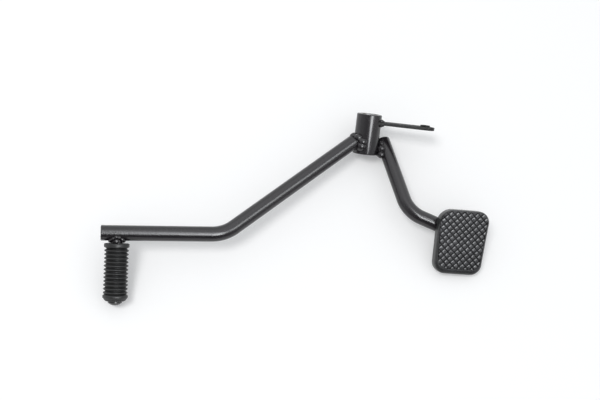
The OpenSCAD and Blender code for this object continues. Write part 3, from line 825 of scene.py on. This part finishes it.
def stack(name, levels):
    """A closed mesh from outlines, each with its height or a height for every point of it."""
    bm = bmesh.new()
    rings = [[bm.verts.new((x * MM, y * MM, z * MM))
              for (x, y), z in zip(outline, np.broadcast_to(height, len(outline)))]
             for outline, height in levels]
    count = len(rings[0])
    for low, high in zip(rings, rings[1:]):
        for i in range(count):
            j = (i + 1) % count
            bm.faces.new((low[i], low[j], high[j], high[i]))
    bm.faces.new(rings[-1])
    bm.faces.new(rings[0][::-1])
    bmesh.ops.recalc_face_normals(bm, faces=bm.faces)
    mesh = bpy.data.meshes.new(name)
    bm.to_mesh(mesh)
    bm.free()
    return mesh


tread_floor = PAD_TOP - STUD_DEPTH - 0.3
wall = np.array(pad_outline(0))
tread = np.array(pad_outline(STUD_RIM, TREAD_SHIFTS))
rim = np.linalg.norm(tread - wall, axis=1)
inward = (tread - wall) / rim[:, None]
levels = [(pad_outline(7.0), 0.0), (pad_outline(7.0), -PAD_LIP + 0.6),
          (pad_outline(6.6), -PAD_LIP)]
levels += [(pad_outline(PAD_UNDER * (1 - sin(a))), -PAD_LIP + PAD_UNDER * (1 - cos(a)))
           for a in np.linspace(0, 90, 6)]
for a in np.linspace(0, RIM_ARC, 9):
    inset = rim[:, None] * (1 - cos(a)) / (1 - cos(RIM_ARC))
    levels.append((wall + inset * inward, PAD_TOP - PAD_ROUND * (1 - sin(a) / sin(RIM_ARC))))
levels += [(tread + 0.02 * inward, PAD_TOP - 0.3), (tread + 0.1 * inward, tread_floor),
           (tread + 1.1 * inward, tread_floor + 0.25)]
body_mesh = stack("pad body", levels)
print("pad body levels:", len(levels))

# %% [markdown]
# Two crossing rows of V grooves leave the studs between them. A stud's top is broad, with a
# soft bevel, and it leans a little, so that light picks out one side of it. One stud is made,
# set out on a square grid turned 45 degrees by Geometry Nodes, and cut off where the field
# ends, because the mould's grooves run right up to the rim.

# %% One stud
STUD_PITCH, STUD_LEAN = 4.7, 0.11
# Each step up a stud's side: how far it is set in, and its height over the grooves.
STUD_PROFILE = ((0, 0), (0.04, 0.02), (0.13, 0.6), (0.22, 1.15), (0.29, 1.45), (0.36, 1.64),
                (0.45, 1.77), (0.90, 1.885), (1.02, 1.90))
stud_levels = []
for inset, z in STUD_PROFILE:
    h = STUD_PITCH / 2 - inset
    c = 0.15 + 0.12 * z
    ring = [(h - c, -h), (h, -h + c), (h, h - c), (h - c, h),
            (-h + c, h), (-h, h - c), (-h, -h + c), (-h + c, -h)]
    lean = STUD_LEAN * (z / STUD_DEPTH) ** 2
    stud_levels.append((ring, [PAD_TOP - STUD_DEPTH + z + lean * (y - h) for _, y in ring]))
stud_mesh = stack("stud", [(stud_levels[0][0], tread_floor - 0.2)] + stud_levels)
stud_host = bpy.data.objects.new("stud_pattern", stud_mesh)
print("stud faces:", len(stud_mesh.polygons))

# %% Geometry Nodes: studs on a turned grid, trimmed by the field
def stud_tree():
    desk, given = new_tree("studs", Pitch="NodeSocketFloat", Rows="NodeSocketInt",
                           Turn="NodeSocketFloat", Stud="NodeSocketObject",
                           Finish="NodeSocketMaterial")
    side = Flow(desk, given["Pitch"]) * (Flow(desk, given["Rows"]) - 1)
    grid = desk.add("GeometryNodeMeshGrid", None,
                    {"Size X": side, "Size Y": side, "Vertices X": given["Rows"],
                     "Vertices Y": given["Rows"]})
    stud = desk.add("GeometryNodeObjectInfo", None, {"Object": given["Stud"]})
    shrink = desk.add("ShaderNodeCombineXYZ", None, {"X": 0.9995, "Y": 0.9995, "Z": 1.0})
    studs = desk.add("GeometryNodeInstanceOnPoints", None,
                     {"Points": grid.outputs[0], "Instance": stud.outputs["Geometry"],
                      "Scale": shrink.outputs[0]})
    angle = desk.add("ShaderNodeCombineXYZ", None, {"Z": given["Turn"]})
    turned_grid = desk.add("GeometryNodeTransform", None,
                           {"Geometry": studs.outputs[0], "Rotation": angle.outputs[0]})
    real = desk.add("GeometryNodeRealizeInstances", None, {0: turned_grid.outputs[0]})
    trimmed = desk.add("GeometryNodeMeshBoolean", {"operation": "INTERSECT", "solver": "MANIFOLD"},
                       {"Mesh 2": real.outputs[0]})
    desk.tree.links.new(given["Geometry"], trimmed.inputs["Mesh 2"])
    return end_tree(desk, trimmed.outputs[0], given["Finish"])


STUDS = stud_tree()
STUD_ROWS = 19
moat = (0.02 + 1.1 * np.maximum(inward[:, 0], 0) + 0.9 * np.maximum(inward[:, 1], 0))[:, None]
field_edge = tread + moat * inward
field_mesh = stack("field", [(field_edge, tread_floor - 0.1), (field_edge, PAD_TOP + 1)])
tread_mesh = grow(STUDS, field_mesh, Pitch=STUD_PITCH * MM, Rows=STUD_ROWS,
                  Turn=math.radians(45), Stud=stud_host, Finish=pad_rubber)
bpy.data.objects.remove(stud_host)
print("tread faces:", len(tread_mesh.polygons))

# %% [markdown]
# The bar comes in under the pad through a notch in the lip. The notch is a real cut, made by a
# boolean with a slightly larger bar, so that the shoe looks pulled over the plate from behind.

# %% Pad rubber with the notch for the bar
BAR_ROOM = 0.6
pad_place = (Matrix.Translation(Vector(pad_middle) * MM)
             @ Matrix.Rotation(math.radians(-PAD_TILT), 4, "X"))
body_mesh.transform(pad_place)
body = bpy.data.objects.new("pad_cut", body_mesh)
scene.collection.objects.link(body)
cutter_mesh = turned([(0, -10), (BAR_R + BAR_ROOM, -10), (BAR_R + BAR_ROOM, 60), (0, 60)],
                     heel_end, -heel_run_dir, segments=64)
cutter = bpy.data.objects.new("bar_room", cutter_mesh)
scene.collection.objects.link(cutter)
cut = body.modifiers.new("notch", "BOOLEAN")
cut.operation, cut.solver, cut.object = "DIFFERENCE", "EXACT", cutter
body_mesh = plain_mesh(body)
bpy.data.objects.remove(body)
bpy.data.objects.remove(cutter)

# %% Wear, painted light and painted shade on the pad, and its two pieces
to_pad = pad_place.inverted()


def over_plate(p):
    return (to_pad @ p).z / MM


def stud_wear_and_shading(p):
    """Edges lighter and shinier everywhere, partly wear and partly painted light; grooves darker
    as painted shade; flat tops lighter toward the bar, a painted falloff of light across the pad.
    """
    x, y, z = np.array(to_pad @ p) / MM
    # Painted light: the flat tops get lighter toward the bar's corner of the pad, as if the light
    # fell off across it
    toward_bar = 0.45 + (0.8 * y - 0.6 * x) / 60
    return min((z - 6.4) / 1.1, 0.45 + 0.55 * toward_bar)


tread_mesh.transform(pad_place)
# The rim's top is lighter by wear, and the walls and field below it stay darker as painted shade
mark_wear_and_shading(body_mesh, 7.7, 8.0, over_plate)
mark_wear_and_shading(tread_mesh, 0, 1, stud_wear_and_shading)
put("pad_shoe", body_mesh, pad_rubber, "pad_rubber", "heel_pad_rubber", sharp=40)
put("pad_studs", tread_mesh, None, "pad_rubber", sharp=60)

# %% [markdown]
# ## The plate under the pad
# Only its back shows, inside the lip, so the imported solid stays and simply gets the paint.

# %% Dress the solid that stays
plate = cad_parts["heel_pad_plate"]
for slot in plate.material_slots:
    slot.link = "OBJECT"
    slot.material = sheet_paint
print("solid kept:", plate.name)

# %% [markdown]
# ## Floor, light and camera
# In the photograph the lever lies on a table, on its hub, the peg's rubber and a corner of the
# pad. The table is the pale floor, so it leans to the lever's own frame. Black gloss shows its
# surroundings more than its own colour, so the work is shared. A lamp from the left and an
# even dome give the soft shadows. What the paint mirrors is a long softbox overhead, a second
# smaller one to its side and dim walls, and only mirrored rays see these.

# %% Table under the lever
TABLE_UP = unit(np.array([-0.040, 0.522, 0.852]))
PAPER, PAPER_LIFT, SINK = 0.86, 0.17, 0.2
shown = [piece for piece in scene.objects if piece.type == "MESH" and not piece.hide_render]
lowest = min((piece.matrix_world @ v.co) @ Vector(TABLE_UP)
             for piece in shown for v in piece.data.vertices)
bm = bmesh.new()
bmesh.ops.create_grid(bm, x_segments=1, y_segments=1, size=3.0)
floor_mesh = bpy.data.meshes.new("floor")
bm.to_mesh(floor_mesh)
bm.free()
floor_mesh.transform(aim((lowest / MM - SINK) * TABLE_UP, TABLE_UP))
floor = bpy.data.objects.new("floor", floor_mesh)
scene.collection.objects.link(floor)
f = Finish("floor_white")
lift = Flow(f, f.add("ShaderNodeLightPath").outputs["Is Camera Ray"]) * PAPER_LIFT
paper = f.add("ShaderNodeBsdfDiffuse", None, {"Color": grey(PAPER)})
lifted = f.add("ShaderNodeEmission", None, {"Color": grey(1.0), "Strength": lift})
both = f.add("ShaderNodeAddShader", None, {0: paper.outputs[0], 1: lifted.outputs[0]})
f.add("ShaderNodeOutputMaterial", None, {"Surface": both.outputs[0]})
floor_mesh.materials.append(f.material)
print("table at", round(lowest / MM, 2), "mm along its normal")

# %% Lamp from the left, seen by no mirror
DOME, LAMP, LAMP_AWAY, LAMP_WIDTH = 0.69, 0.36, 4.0, 0.34
LAMP_LEFT, LAMP_LOW = 0.38, 0.12
CAMERA_TURN = Matrix(((0.978917, -0.079407, -0.188192), (0.111224, 0.979994, 0.165048),
                      (0.171321, -0.182499, 0.968165)))
picture_right, picture_up = CAMERA_TURN.col[0], CAMERA_TURN.col[1]
lamp_dir = (Vector(TABLE_UP) - LAMP_LEFT * picture_right - LAMP_LOW * picture_up).normalized()
lamp_data = bpy.data.lights.new("left_lamp", "AREA")
lamp_data.shape, lamp_data.size = "DISK", LAMP_WIDTH * LAMP_AWAY
lamp_data.energy = LAMP * math.pi * math.pi * LAMP_AWAY ** 2
lamp = bpy.data.objects.new("left_lamp", lamp_data)
lamp.location = Vector((-0.07, -0.06, 0.02)) + LAMP_AWAY * lamp_dir
lamp.rotation_euler = lamp_dir.to_track_quat("Z", "Y").to_euler()
lamp.visible_glossy = False
scene.collection.objects.link(lamp)
print("lamp from", [round(v, 2) for v in lamp_dir])

# %% Dome, and the softboxes that the paint mirrors
SOFTBOX, SOFTBOX_LONG, SOFTBOX_SHORT, SOFTBOX_LIGHT = (0.20, 0.12), 0.50, 0.19, 10.5
SIDE_BOX, SIDE_BOX_LONG, SIDE_BOX_SHORT, SIDE_BOX_LIGHT = (0.57, 0.29), 0.20, 0.15, 4.3
GLOW, WALL = 1.2, 0.22
world = bpy.data.worlds.new("studio")
scene.world = world
world.use_nodes = True
world.node_tree.nodes.clear()
studio = Desk(world.node_tree)
way = studio.add("ShaderNodeTexCoord").outputs["Generated"]
x, y, z = (Flow(studio, socket)
           for socket in studio.add("ShaderNodeSeparateXYZ", None, {0: way}).outputs)


def across(middle, direction, radius):
    """How far a ray points to the side of middle, along a direction, counted in radii."""
    return ((x - middle[0]) * (direction[0] / radius)
            + (y - middle[1]) * (direction[1] / radius))


long_way = across(SOFTBOX, (-0.45, 0.89), SOFTBOX_LONG)
short_way = across(SOFTBOX, (0.89, 0.45), SOFTBOX_SHORT)
away = long_way * long_way + short_way * short_way
core = ((1 - away.above(0.4, 1.4)) * (1 - long_way.above(-0.2, 0.7) * 0.6) * SOFTBOX_LIGHT
        * (1 - (x - y).above(0.385, 0.455)) * (x.above(-0.02, 0.16) * 0.45 + 0.55))
side_long = across(SIDE_BOX, (0.60, -0.80), SIDE_BOX_LONG)
side_short = across(SIDE_BOX, (0.80, 0.60), SIDE_BOX_SHORT)
side_away = side_long * side_long + side_short * side_short
fill = (1 - side_away.above(0.2, 1.8)) * SIDE_BOX_LIGHT
glow = away.maths("EXPONENT", away * -0.30) * GLOW * y.above(-0.30, 0.0)
walls = WALL + x * x * 0.45 + y.above(0.10, 0.80) * 0.75 - (0 - y).above(0.1, 0.5) * 0.12
mirrored = (core + fill + glow) * z.above(0.0, 0.2) + walls
print("nodes for the mirrored lights:", len(world.node_tree.nodes))

# %% Which rays see what
path = studio.add("ShaderNodeLightPath")
seen = Flow(studio, path.outputs["Is Camera Ray"])
glossy = Flow(studio, path.outputs["Is Glossy Ray"])
light = DOME + seen * (1 - DOME) + glossy * (mirrored - DOME)
air = studio.add("ShaderNodeBackground", None, {"Color": (0.96, 0.98, 1.0, 1), "Strength": light})
studio.add("ShaderNodeOutputWorld", None, {"Surface": air.outputs[0]})
print("world nodes:", len(world.node_tree.nodes))

# %% Camera at the photograph's angle
CAMERA_PLACE, LENS_MM, SENSOR_MM = (-0.22991, 0.07629, 0.87190), 54.0, 36.0
lens = bpy.data.cameras.new("camera")
lens.lens, lens.sensor_width = LENS_MM, SENSOR_MM
lens.clip_start = 0.01
camera = bpy.data.objects.new("camera", lens)
camera.matrix_world = Matrix.Translation(CAMERA_PLACE) @ CAMERA_TURN.to_4x4()
scene.collection.objects.link(camera)
scene.camera = camera
scene.view_settings.view_transform = "Standard"
print("camera at", CAMERA_PLACE)

# %% Bring the scene up to date
bpy.context.view_layer.update()
